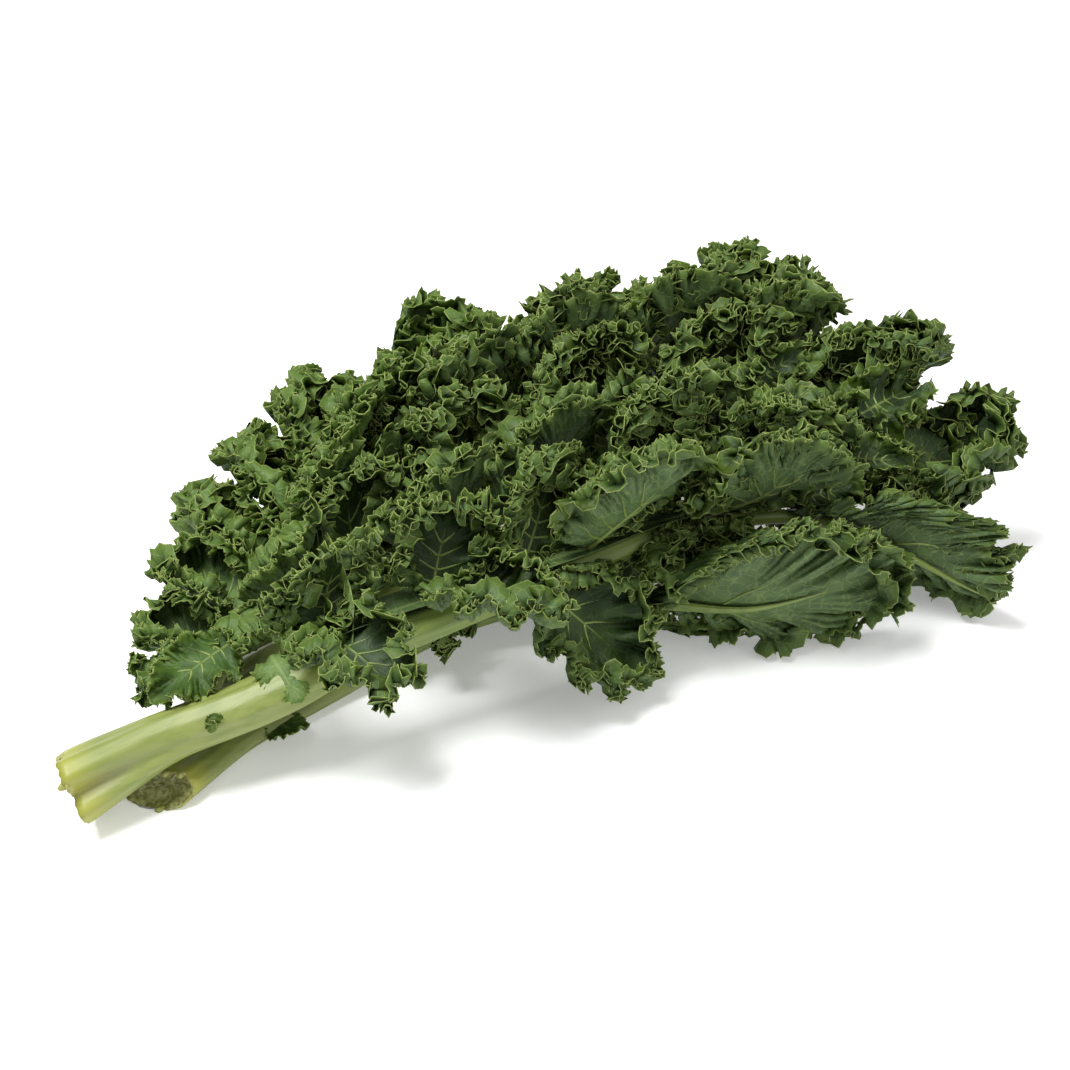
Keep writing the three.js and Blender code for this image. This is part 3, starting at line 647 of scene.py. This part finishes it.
def stalk_rings(leaf):
    """The stalk and midrib: ovals along the midrib with soft lengthwise ridges, sines of the way round, and
    a groove along the top. They flare at the cut foot, thin with the power 1.4 of the way to the tip, and
    are laid under the blade where it begins. The cut is slanted square to its own direction, and in a
    notched stalk a valley runs a short way up from the foot."""
    stalk = leaf["stalk"]
    last = leaf["end"]["at"] + (1 - leaf["end"]["at"]) * STALK_REACH
    blade_from = min(leaf["near"][0][0], leaf["far"][0][0])
    part = np.linspace(0, min(STALK_POINT, 1 / last), STALK_STATIONS)
    t = last * part
    point, forward, up, right = midrib_frame(leaf, t)
    under = smoothstep(t, blade_from - 0.22, blade_from - 0.03)[:, None]
    point = point + (settle(point, leaf["name"]) - point) * under
    thin = 1 - (1 - STALK_TIP) * part**1.4
    opened = 1 + (stalk["flare"] - 1) * (1 - smoothstep(part, -0.04, FLARE_REACH))
    opened -= stalk["waist"] * np.exp(-((part - FLARE_REACH) / 0.08) ** 2)
    half_width = 0.5 * stalk["width"] * thin * opened
    half_height = 0.5 * stalk["height"] * thin * (1 + opened) / 2
    below = (0.5 * BLADE_THICKNESS + BLADE_GAP + half_height) * under[:, 0]
    turn = np.linspace(-np.pi, np.pi, STALK_SIDES, endpoint=False)
    ridges = 1 + 0.028 * np.sin(7 * turn + 0.6) + 0.018 * np.sin(11 * turn + 2.1)
    groove = 1 - GROOVE_DEPTH * np.exp(-((turn - np.pi / 2) / 0.42) ** 2)
    valley = (1 - smoothstep(part, 0, VALLEY_REACH))[:, None] * np.exp(-((turn + 0.1) / 0.5) ** 2)
    valley = valley * (stalk["notch"] > 0)
    shape = ridges * groove * (1 - stalk["notch"] * valley)
    offset = right[:, None] * (half_width[:, None] * np.cos(turn) * shape)[..., None]
    offset += up[:, None] * (half_height[:, None] * np.sin(turn) * shape)[..., None]
    cut = np.array(stalk["cut"], float)
    slant = (offset @ cut) / -(forward @ cut)[:, None] * (1 - smoothstep(part, 0, CUT_REACH))[:, None]
    rings = point[:, None] + offset + forward[:, None] * slant[..., None] - (up * below[:, None])[:, None]
    return rings, part, valley


def leaf_stalk(leaf, lobes, material):
    """The stalk with its midrib, its torn and hollowed cut, and the pale ribs and veins that branch off it
    under the lobes, as one mesh. Along runs from below 0 inside the cut to 1 at the tip, for the finish."""
    rings, part, valley = stalk_rings(leaf)
    rng = np.random.default_rng(leaf["seed"])
    middle = rings[0].mean(0)
    into = unit(rings[2].mean(0) - middle)
    rings[0] += into * rng.uniform(-0.5, 0.3, (STALK_SIDES, 1))
    hollow = []
    for share, depth in HOLLOW_RINGS:
        sunk = leaf["stalk"]["scoop"] * depth * rng.uniform(0.8, 1.15, (STALK_SIDES, 1))
        hollow.append(middle + (rings[0] - middle) * share + into * sunk)
    along = np.concatenate([np.full(len(hollow), -1.0), part])
    rings = np.concatenate([np.stack(hollow), rings])
    pieces = [closed_rings(rings)]
    values = [np.append(np.repeat(along, STALK_SIDES), [-1.0, 1.0])]
    dull = [np.concatenate([np.zeros(len(hollow) * STALK_SIDES), valley.ravel(), [0, 0]])]
    for corner in rng.integers(0, STALK_SIDES, TORN_NUBS):
        rim = rings[len(hollow), corner] * 0.93 + middle * 0.07
        path = rim - into * np.linspace(-1.5, 1.8, 5)[:, None] + rng.uniform(-0.4, 0.4, (5, 3))
        pieces.append(tube(path, np.array([0.8, 1.1, 1.0, 1.4, 0.9]), RIB_SIDES))
        values.append(np.full(len(pieces[-1][0]), -0.3))
    for lobe in lobes:
        if lobe["length"] < SHORTEST_RIBBED:
            continue
        if lobe is not lobes[-1]:
            t = np.linspace(0, RIB_REACH, RIB_STATIONS)
            point, _, up, _ = lobe["rib"](t)
            path = settle(stay_inside(point, lobe["walls"]), leaf["name"])
            radii = 0.02 * lobe["length"] * (1 - 0.85 * t / RIB_REACH) + 0.1
            pieces.append(tube(path - up * (0.5 * radii)[:, None], radii, RIB_SIDES))
            values.append(np.full(len(pieces[-1][0]), 0.9))
        normal = surface_directions(lobe["points"])[1]
        columns = len(normal) - 1
        rows = np.array(LOBE_ROWS[:VEIN_ROWS])
        share = np.linspace(0, 1, VEIN_STATIONS)
        for place, side in [(place, side) for place in VEINS_AT for side in (-1, 1)]:
            column = round(0.5 * columns * (1 + side * place))
            bent = np.clip(column - side * np.round(0.04 * columns * share**1.5).astype(int), 0, columns)
            row = np.interp(share * rows[-1], rows, np.arange(len(rows)))
            low = np.minimum(row.astype(int), len(rows) - 2)
            mixed = (row - low)[:, None]
            path = lobe["points"][bent, low] * (1 - mixed) + lobe["points"][bent, low + 1] * mixed
            lift = normal[bent, low] * (1 - mixed) + normal[bent, low + 1] * mixed
            radii = 0.62 - 0.45 * share
            pieces.append(tube(path - lift * (0.5 * BLADE_THICKNESS), radii, VEIN_SIDES))
            values.append(np.full(len(pieces[-1][0]), 0.95))
    starts = np.cumsum([0] + [len(piece[0]) for piece in pieces[:-1]])
    vertices = np.concatenate([piece[0] for piece in pieces])
    vertices[:, 2] = np.maximum(vertices[:, 2], BUNCH_CENTRE[2])
    triangles = np.concatenate([piece[1] + start for piece, start in zip(pieces, starts)])
    stalk = put_mesh(leaf["name"] + "_stalk_ribbed", vertices, triangles, material)
    point_values(stalk, "along", np.concatenate(values))
    dull.append(np.zeros(len(vertices) - len(dull[0])))
    point_values(stalk, "dull", np.concatenate(dull))
    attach(stalk, "root")
    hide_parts(leaf["name"] + "_stalk")


SOCKETS = {
    "colour": "Base Color", "roughness": "Roughness", "shine": "Specular IOR Level",
    "glow_colour": "Emission Color", "glow": "Emission Strength",
}


class Finish:
    """A procedural finish: one Principled surface, and short ways to add the nodes that feed it."""

    def __init__(self, name):
        self.material = bpy.data.materials.new(name)
        self.material.use_nodes = True
        self.tree = self.material.node_tree
        self.surface = self.tree.nodes["Principled BSDF"]

    def join(self, source, target):
        """One socket led into another."""
        self.tree.links.new(source, target)

    def even(self, **given):
        """Values that are the same all over, each set on the surface's own socket."""
        for name, value in given.items():
            self.surface.inputs[SOCKETS[name]].default_value = value

    def place(self, node):
        """Leads the object's own coordinates into a node."""
        coordinates = self.tree.nodes.new("ShaderNodeTexCoord")
        self.join(coordinates.outputs["Object"], node.inputs["Vector"])

    def value(self, name):
        """A number that the mesh carries at each point."""
        node = self.tree.nodes.new("ShaderNodeAttribute")
        node.attribute_name = name
        return node.outputs["Fac"]

    def sums(self, operation, *inputs):
        """One step of arithmetic on numbers or sockets."""
        node = self.tree.nodes.new("ShaderNodeMath")
        node.operation = operation
        for k, given in enumerate(inputs):
            if isinstance(given, (int, float)):
                node.inputs[k].default_value = given
            else:
                self.join(given, node.inputs[k])
        return node.outputs[0]

    def ramp(self, source, low, high, to_low=0.0, to_high=1.0):
        """A smooth step from one value to another as the source goes from low to high."""
        node = self.tree.nodes.new("ShaderNodeMapRange")
        node.interpolation_type = "SMOOTHSTEP"
        self.join(source, node.inputs["Value"])
        for key, given in (("From Min", low), ("From Max", high), ("To Min", to_low), ("To Max", to_high)):
            node.inputs[key].default_value = given
        return node.outputs["Result"]

    def noise(self, scale, detail=3.0):
        """Smooth noise over the object's own space, with about as many waves to a metre as its scale."""
        node = self.tree.nodes.new("ShaderNodeTexNoise")
        self.place(node)
        node.inputs["Scale"].default_value = scale
        node.inputs["Detail"].default_value = detail
        return node.outputs["Fac"]

    def cells(self, scale):
        """The distance to the walls between cells, for the finest net of veins."""
        node = self.tree.nodes.new("ShaderNodeTexVoronoi")
        node.feature = "DISTANCE_TO_EDGE"
        self.place(node)
        node.inputs["Scale"].default_value = scale
        return node.outputs["Distance"]

    def mix(self, share, first, second):
        """Two colours mixed. The node takes them in its inputs 6 and 7 and gives the mix at its output 2."""
        node = self.tree.nodes.new("ShaderNodeMix")
        node.data_type = "RGBA"
        if isinstance(share, (int, float)):
            node.inputs["Factor"].default_value = share
        else:
            self.join(share, node.inputs["Factor"])
        for key, given in ((6, first), (7, second)):
            if isinstance(given, tuple):
                node.inputs[key].default_value = (*given, 1.0)
            else:
                self.join(given, node.inputs[key])
        return node.outputs[2]

    def bump(self, height, strength, distance):
        """Fine relief on the surface from a height."""
        node = self.tree.nodes.new("ShaderNodeBump")
        node.inputs["Strength"].default_value = strength
        node.inputs["Distance"].default_value = distance
        self.join(height, node.inputs["Height"])
        self.join(node.outputs["Normal"], self.surface.inputs["Normal"])


def linear(red, green, blue):
    """A colour as seen, 0 to 255, made linear by the power 2.2."""
    return tuple((channel / 255) ** 2.2 for channel in (red, green, blue))


BLOOM = linear(56, 78, 52)
VEIN_GREEN = linear(116, 134, 80)
# Painted light: a lit yellow-green laid on the blade near the margin, standing in for light shining through
# and onto the frill edges.
PAINTED_FRILL_LIGHT = linear(72, 92, 22)
# Painted highlight: a pale line along the very margin, where the thin leaf edge catches the light.
PAINTED_EDGE_HIGHLIGHT = linear(142, 156, 88)
VEIN_SPACING = 12.5
VEIN_SLANT = 0.7
VEIN_WOBBLE = 7.0


def blade_finish(name, upper, under_side):
    """Waxy kale: dark above, grey-green below, paler veins slanting to the tip, and painted light near the
    margin.

    A vein is where the way round the margin, slanted by the distance from the rib, is near a whole number of
    spacings. Painted light: within 6 mm of the margin the colour is mixed towards a lit yellow-green, and a
    thin painted highlight runs along the margin as a step of the distance from it, broken up by noise.
    """
    finish = Finish(name)
    margin = finish.value("from_margin")
    rib = finish.value("from_rib")
    round_margin = finish.sums("ABSOLUTE", finish.value("round_margin"))
    under = finish.value("under")
    mottle = finish.noise(140.0, 4.0)
    wander_noise = finish.noise(260.0, 2.0)

    slanted = finish.sums("ADD", round_margin, finish.sums("MULTIPLY", rib, VEIN_SLANT))
    slanted = finish.sums("ADD", slanted, finish.sums("MULTIPLY", wander_noise, VEIN_WOBBLE))
    between = finish.sums("FRACT", finish.sums("DIVIDE", slanted, VEIN_SPACING))
    vein_place = finish.sums("ABSOLUTE", finish.sums("SUBTRACT", between, 0.5))
    vein_width = finish.ramp(rib, 0.0, 18.0, 0.05, 0.012)
    vein = finish.sums("SUBTRACT", 1.0, finish.sums("DIVIDE", vein_place, vein_width))
    vein = finish.sums("MULTIPLY", finish.sums("MAXIMUM", vein, 0.0), finish.ramp(margin, 1.0, 6.0))
    middle_rib = finish.ramp(rib, 0.3, 1.2, 1.0, 0.0)
    vein = finish.sums("MINIMUM", finish.sums("ADD", vein, middle_rib), 1.0)
    net_line = finish.ramp(finish.cells(210.0), 0.0, 0.09, 1.0, 0.0)
    net_share = finish.ramp(under, 0.0, 1.0, 0.35, 0.7)
    vein = finish.sums("MAXIMUM", vein, finish.sums("MULTIPLY", net_line, net_share))

    patch = finish.ramp(mottle, 0.35, 0.7)
    bloom = finish.ramp(finish.noise(45.0, 2.0), 0.45, 0.7, 0.0, 0.35)
    above = finish.mix(bloom, finish.mix(patch, upper[0], upper[1]), BLOOM)
    below = finish.mix(patch, under_side[0], under_side[1])
    lamina = finish.mix(under, above, below)
    vein_share = finish.sums("MULTIPLY", vein, finish.ramp(under, 0.0, 1.0, 0.22, 0.55))
    pale_vein = finish.mix(vein_share, lamina, VEIN_GREEN)
    edge = finish.ramp(margin, 0.0, 0.4, 1.0, 0.0)
    # Painted light: towards the margin the lamina turns a lit yellow-green, standing in for light through and
    # on the frill edges.
    glow = finish.ramp(margin, 0.5, 6.0, 0.6, 0.0)
    with_painted_frill_light = finish.mix(glow, pale_vein, PAINTED_FRILL_LIGHT)
    # Painted highlight: a pale line on the last 0.4 mm of the margin, its strength broken up by noise.
    highlight_breakup = finish.ramp(finish.noise(320.0, 2.0), 0.35, 0.65, 0.25, 0.85)
    colour = finish.mix(finish.sums("MULTIPLY", edge, highlight_breakup), with_painted_frill_light, PAINTED_EDGE_HIGHLIGHT)
    finish.join(colour, finish.surface.inputs["Base Color"])
    finish.even(roughness=0.55, shine=0.28)
    fine = finish.noise(900.0, 3.0)
    relief = finish.sums("ADD", finish.sums("MULTIPLY", fine, 0.4), finish.sums("MULTIPLY", vein, 0.7))
    finish.bump(relief, 0.5, 0.0006)
    return finish.material


PALE_STALK = (linear(126, 135, 74), linear(112, 125, 61))
GREEN_STALK = (linear(110, 127, 62), linear(96, 114, 51))
DULL_VALLEY = linear(124, 122, 88)
YELLOW_FOOT = linear(158, 156, 60)
TORN_FLESH = (linear(112, 112, 60), linear(166, 168, 114))
STREAK_STRETCH = (14.0, 330.0, 330.0)


def stalk_finish(name):
    """Pale yellow-green stalk, streaked darker along its length, greener to the tip, dull in the notch's
    valley and torn at the cut."""
    finish = Finish(name)
    along = finish.value("along")
    stretch = finish.tree.nodes.new("ShaderNodeMapping")
    stretch.inputs["Scale"].default_value = STREAK_STRETCH
    finish.place(stretch)
    streaks = finish.tree.nodes.new("ShaderNodeTexNoise")
    streaks.inputs["Scale"].default_value = 1.0
    streaks.inputs["Detail"].default_value = 4.0
    finish.join(stretch.outputs["Vector"], streaks.inputs["Vector"])
    streak = finish.ramp(streaks.outputs["Fac"], 0.4, 0.68)
    pale = finish.mix(streak, *PALE_STALK)
    green = finish.mix(streak, *GREEN_STALK)
    body = finish.mix(finish.ramp(along, 0.12, 0.5), pale, green)
    body = finish.mix(finish.ramp(finish.value("dull"), 0.35, 1.0, 0.0, 0.75), body, DULL_VALLEY)
    foot = finish.mix(finish.ramp(along, 0.0, 0.05, 0.6, 0.0), body, YELLOW_FOOT)
    torn = finish.mix(finish.ramp(finish.noise(700.0, 3.0), 0.35, 0.7), *TORN_FLESH)
    cut = finish.mix(finish.ramp(along, -0.5, -0.1, 1.0, 0.0), foot, torn)
    finish.join(cut, finish.surface.inputs["Base Color"])
    finish.even(roughness=0.45, shine=0.45)
    finish.bump(streaks.outputs["Fac"], 0.35, 0.0008)
    return finish.material


DARK_GREEN = (linear(31, 47, 12), linear(43, 62, 17))
GREY_GREEN = (linear(66, 86, 50), linear(79, 100, 58))

kale_blade = blade_finish("kale_blade", DARK_GREEN, GREY_GREEN)
kale_stalk = stalk_finish("kale_stalk")
leaf_stalk(LOW_LEAF, leaf_blade(LOW_LEAF, kale_blade), kale_stalk)

# Front leaf
# The biggest leaf, on top at the near side: its thick stalk reaches out in front, cut and flared at the foot.
# One of its lobes hangs down over the edge of the bunch to the table.
FRONT_LEAF = {
    "name": "front_leaf",
    "midrib": [
        [-190, -5.5, 14.5], [-146, -11, 28], [-104, -20, 47], [-58, -26, 52],
        [-10, -30, 52], [40, -36, 54], [92, -54, 46], [136, -96, 17],
    ],
    "roll": [30, 15, 0, 10, 60],
    "stalk": {
        "width": 23, "height": 20, "flare": 1.7, "waist": 0.12,
        "scoop": 2.5, "notch": 0.5, "cut": [-0.87, 0.34, -0.35],
    },
    "near": [
        [0.3, 34, 20, 75, 5, -0.8],
        [0.43, 40, 24, 60, 10, -0.3],
        [0.52, 56, 27, 52, -52, -0.2],
        [0.6, 50, 26, 58, 55, 0.1],
        [0.68, 40, 24, 50, -50, 0],
        [0.75, 50, 30, 55, 38, 0.1],
    ],
    "far": [
        [0.3, 40, 22, 75, 35, 0.2],
        [0.42, 34, 26, 62, 50, 0.2],
        [0.53, 38, 28, 60, 55, 0.2],
        [0.64, 56, 28, 58, 55, 0.2],
        [0.74, 50, 26, 55, 50, 0.2],
    ],
    "end": {
        "at": 0.82, "near": 58, "far": 46, "cup": 50, "calm": 0.7,
        "ruffles": [(1, 0.7), (-1, 0.8), (-1, 0.92)],
    },
    "plain": [0.3, 0.43, 0.52, 0.6],
    "open": [-0.3, -0.42],
    "rimmed": [0.6],
    "leaflets": [
        {
            "root": [-148, -20.5, 32.5], "ahead": [0.9, -0.3, 0.1], "face": [-0.5, -0.7, 0.5],
            "length": 6, "half_width": 2, "bend": 0.3, "calm": 0.1,
        },
        {
            "root": [-147, -21, 32.5], "ahead": [0.1, -0.7, -0.7], "face": [-0.5, -0.7, 0.5],
            "length": 4, "half_width": 2, "bend": 0.3, "calm": 0.07,
        },
        {
            "root": [14, -37, 47], "ahead": [0.3, -0.3, -0.9], "face": [-0.3, -0.8, 0.3],
            "length": 24, "half_width": 12, "bend": -0.3, "calm": 0.6,
        },
        {
            "root": [84, -46, 51], "ahead": [1, -0.3, 0], "face": [-0.4, -0.5, 0.7],
            "length": 24, "half_width": 9, "bend": 0.2, "calm": 0.5,
        },
        {
            "root": [30, -28, 57], "ahead": [0.4, 0.2, 0.85], "face": [-0.5, -0.7, 0.3],
            "length": 19, "half_width": 10, "bend": 0.3, "calm": 0.6,
        },
    ],
    "seed": 11,
}
leaf_stalk(FRONT_LEAF, leaf_blade(FRONT_LEAF, kale_blade), kale_stalk)

# Middle leaf
# The leaf behind the front one, along the top of the bunch, its tip turned down at the leafy end. Nothing
# ties it: it lies between the front leaf and the back leaf.
MIDDLE_LEAF = {
    "name": "middle_leaf",
    "midrib": [
        [-134, 15, 10], [-108, 15, 18], [-78, 13, 31], [-42, 14, 44], [2, 14, 52],
        [50, 6, 58], [98, -10, 60], [142, -34, 53], [161, -60, 38],
    ],
    "roll": [0, 0, 0, 0, -40],
    "stalk": {
        "width": 18, "height": 10, "flare": 1.2, "waist": 0.0,
        "scoop": 2.5, "notch": 0.0, "cut": [-1, 0, 0],
    },
    "near": [
        [0.36, 46, 26, 66, 45, 0.2],
        [0.48, 54, 28, 60, 45, 0.2],
        [0.6, 56, 28, 60, 40, 0.2],
        [0.7, 54, 28, 58, 20, 0],
        [0.79, 63, 30, 64, -28, -0.2],
    ],
    "far": [
        [0.3, 46, 26, 68, 40, 0.2],
        [0.43, 50, 28, 64, 45, 0.2],
        [0.56, 54, 30, 62, 40, 0.2],
        [0.68, 54, 30, 58, 40, 0.2],
        [0.78, 50, 28, 52, 40, 0.2],
    ],
    "end": {"at": 0.88, "near": 48, "far": 38, "cup": 60},
    "plain": [0.36, 0.48],
    "open": [-0.3],
    "rimmed": [0.36, 0.48],
    "leaflets": [
        {
            "root": [122, -38, 71], "ahead": [1, 0.1, 0.1], "face": [-0.3, -0.5, 0.8],
            "length": 32, "half_width": 14, "bend": -0.3, "calm": 0.9,
        },
        {
            "root": [111, -46, 59], "ahead": [0.8, -0.5, -0.1], "face": [-0.4, -0.6, 0.6],
            "length": 20, "half_width": 10, "bend": 0.3, "calm": 0.5,
        },
        {
            "root": [97, -4, 77], "ahead": [0.9, -0.2, 0.4], "face": [-0.4, -0.7, 0.6],
            "length": 22, "half_width": 9, "bend": 0.2, "calm": 0.6,
        },
    ],
    "seed": 37,
}
leaf_stalk(MIDDLE_LEAF, leaf_blade(MIDDLE_LEAF, kale_blade), kale_stalk)

# Back leaf
# The leaf along the far side, the highest of the bunch, with some of its far lobes hanging towards the table.
# Its stalk rests on the table at the cut end.
BACK_LEAF = {
    "name": "back_leaf",
    "midrib": [
        [-126, 30, 5], [-100, 38, 11], [-70, 48, 24], [-30, 57, 42], [14, 58, 54],
        [60, 50, 63], [104, 36, 67], [146, 14, 64], [186, -20, 49],
    ],
    "roll": [0, 0, 0, 0, -20],
    "stalk": {
        "width": 17, "height": 10, "flare": 1.2, "waist": 0.0,
        "scoop": 2.5, "notch": 0.0, "cut": [-1, 0, 0],
    },
    "near": [
        [0.32, 44, 26, 70, 50, 0.2],
        [0.44, 52, 26, 66, 55, 0.2],
        [0.55, 56, 28, 62, 50, 0.2],
        [0.66, 56, 28, 60, 50, 0.2],
        [0.76, 54, 27, 58, 45, 0.2],
    ],
    "far": [
        [0.3, 54, 28, 74, 60, 0.2],
        [0.4, 62, 28, 68, 50, 0.2],
        [0.5, 58, 26, 66, -48, -0.2],
        [0.59, 47, 28, 60, 48, 0.2],
        [0.68, 56, 26, 62, -48, -0.2],
        [0.77, 44, 28, 56, 34, 0.2],
    ],
    "end": {"at": 0.87, "near": 54, "far": 34, "cup": 70},
    "seed": 41,
}
leaf_stalk(BACK_LEAF, leaf_blade(BACK_LEAF, kale_blade), kale_stalk)

# Left leaf
# The short leaf over the far stalks, nearest the cut end, with one narrow lobe draped over the thick stalk.
# It is fresher green than the others, and lies loose on the middle and back leaves.
LEFT_LEAF = {
    "name": "left_leaf",
    "midrib": [
        [-136, 11.5, 22], [-126, 16, 30], [-106, 25, 37], [-78, 41, 43],
        [-50, 60, 52], [-18, 72, 66], [28, 80, 83],
    ],
    "roll": [0, 0, 0, 0, 0],
    "stalk": {
        "width": 15, "height": 9, "flare": 1.2, "waist": 0.0,
        "scoop": 2.5, "notch": 0.0, "cut": [-1, 0, 0],
    },
    "near": [
        [0.23, 46, 14, 84, 42, -1.4],
        [0.35, 40, 22, 66, 40, 0.2],
        [0.45, 46, 26, 62, 45, 0.2],
        [0.56, 48, 26, 60, 50, 0.2],
        [0.67, 46, 24, 56, 45, 0.2],
    ],
    "far": [
        [0.1, 24, 16, 136, 42, 0],
        [0.2, 25, 20, 100, 10, 0],
        [0.33, 34, 24, 80, 5, 0],
        [0.46, 41, 26, 70, 10, 0],
        [0.58, 37, 24, 64, 20, 0],
        [0.69, 38, 24, 46, 14, 0],
    ],
    "end": {"at": 0.75, "near": 34, "far": 42, "cup": 70},
    "plain": [0.23, 0.35, -0.1, -0.2, -0.33],
    "leaflets": [
        {
            "root": [-124, 5, 40], "ahead": [-0.97, -0.2, -0.08], "face": [0, -0.25, 0.97],
            "length": 30, "half_width": 13, "bend": -0.3, "calm": 0.4,
        },
        {
            "root": [-118, -13, 43], "ahead": [-0.3, -0.9, 0.32], "face": [0.3, -0.41, -0.86],
            "length": 17, "half_width": 8, "bend": 2.0, "calm": 0.3,
        },
    ],
    "seed": 59,
}
FRESH_GREEN = (linear(46, 68, 22), linear(62, 88, 30))
PALE_GREEN = (linear(78, 102, 52), linear(93, 117, 62))
young_blade = blade_finish("young_blade", FRESH_GREEN, PALE_GREEN)
leaf_stalk(LEFT_LEAF, leaf_blade(LEFT_LEAF, young_blade), kale_stalk)

# Floor and light
# A faintly glowing white floor, one broad soft light high on the left, a weaker one in front on the right,
# and a pale sky.
FLOOR_REACH = 4
FLOOR_GREY = (0.9, 0.9, 0.9, 1.0)
FLOOR_GLOW = 0.25
WHITE = (1.0, 1.0, 1.0, 1.0)
SKY_STRENGTH = 0.55

floor_corners = [(x * FLOOR_REACH, y * FLOOR_REACH, 0) for x, y in ((-1, -1), (1, -1), (1, 1), (-1, 1))]
floor_mesh = bpy.data.meshes.new("floor")
floor_mesh.from_pydata(floor_corners, [], [(0, 1, 2, 3)])
floor_finish = Finish("white_floor")
floor_finish.even(colour=FLOOR_GREY, roughness=0.9, glow_colour=WHITE, glow=FLOOR_GLOW)
floor_mesh.materials.append(floor_finish.material)
floor = bpy.data.objects.new("floor", floor_mesh)
bpy.context.scene.collection.objects.link(floor)


def soft_light(name, place, size, watts):
    """A square area light at a place, aimed at the middle of the bunch."""
    data = bpy.data.lights.new(name, "AREA")
    data.size = size
    data.energy = watts
    lamp = bpy.data.objects.new(name, data)
    lamp.location = place
    lamp.rotation_euler = (Vector((0, 0, 0.05)) - Vector(place)).to_track_quat("-Z", "Y").to_euler()
    bpy.context.scene.collection.objects.link(lamp)


soft_light("key_light", (-0.5, 0.1, 1.4), 0.7, 30)
soft_light("fill_light", (0.8, -1.1, 0.8), 1.0, 5)
world = bpy.data.worlds.new("pale_sky")
world.use_nodes = True
world.node_tree.nodes["Background"].inputs["Color"].default_value = WHITE
world.node_tree.nodes["Background"].inputs["Strength"].default_value = SKY_STRENGTH
bpy.context.scene.world = world
bpy.context.scene.view_settings.view_transform = "Standard"
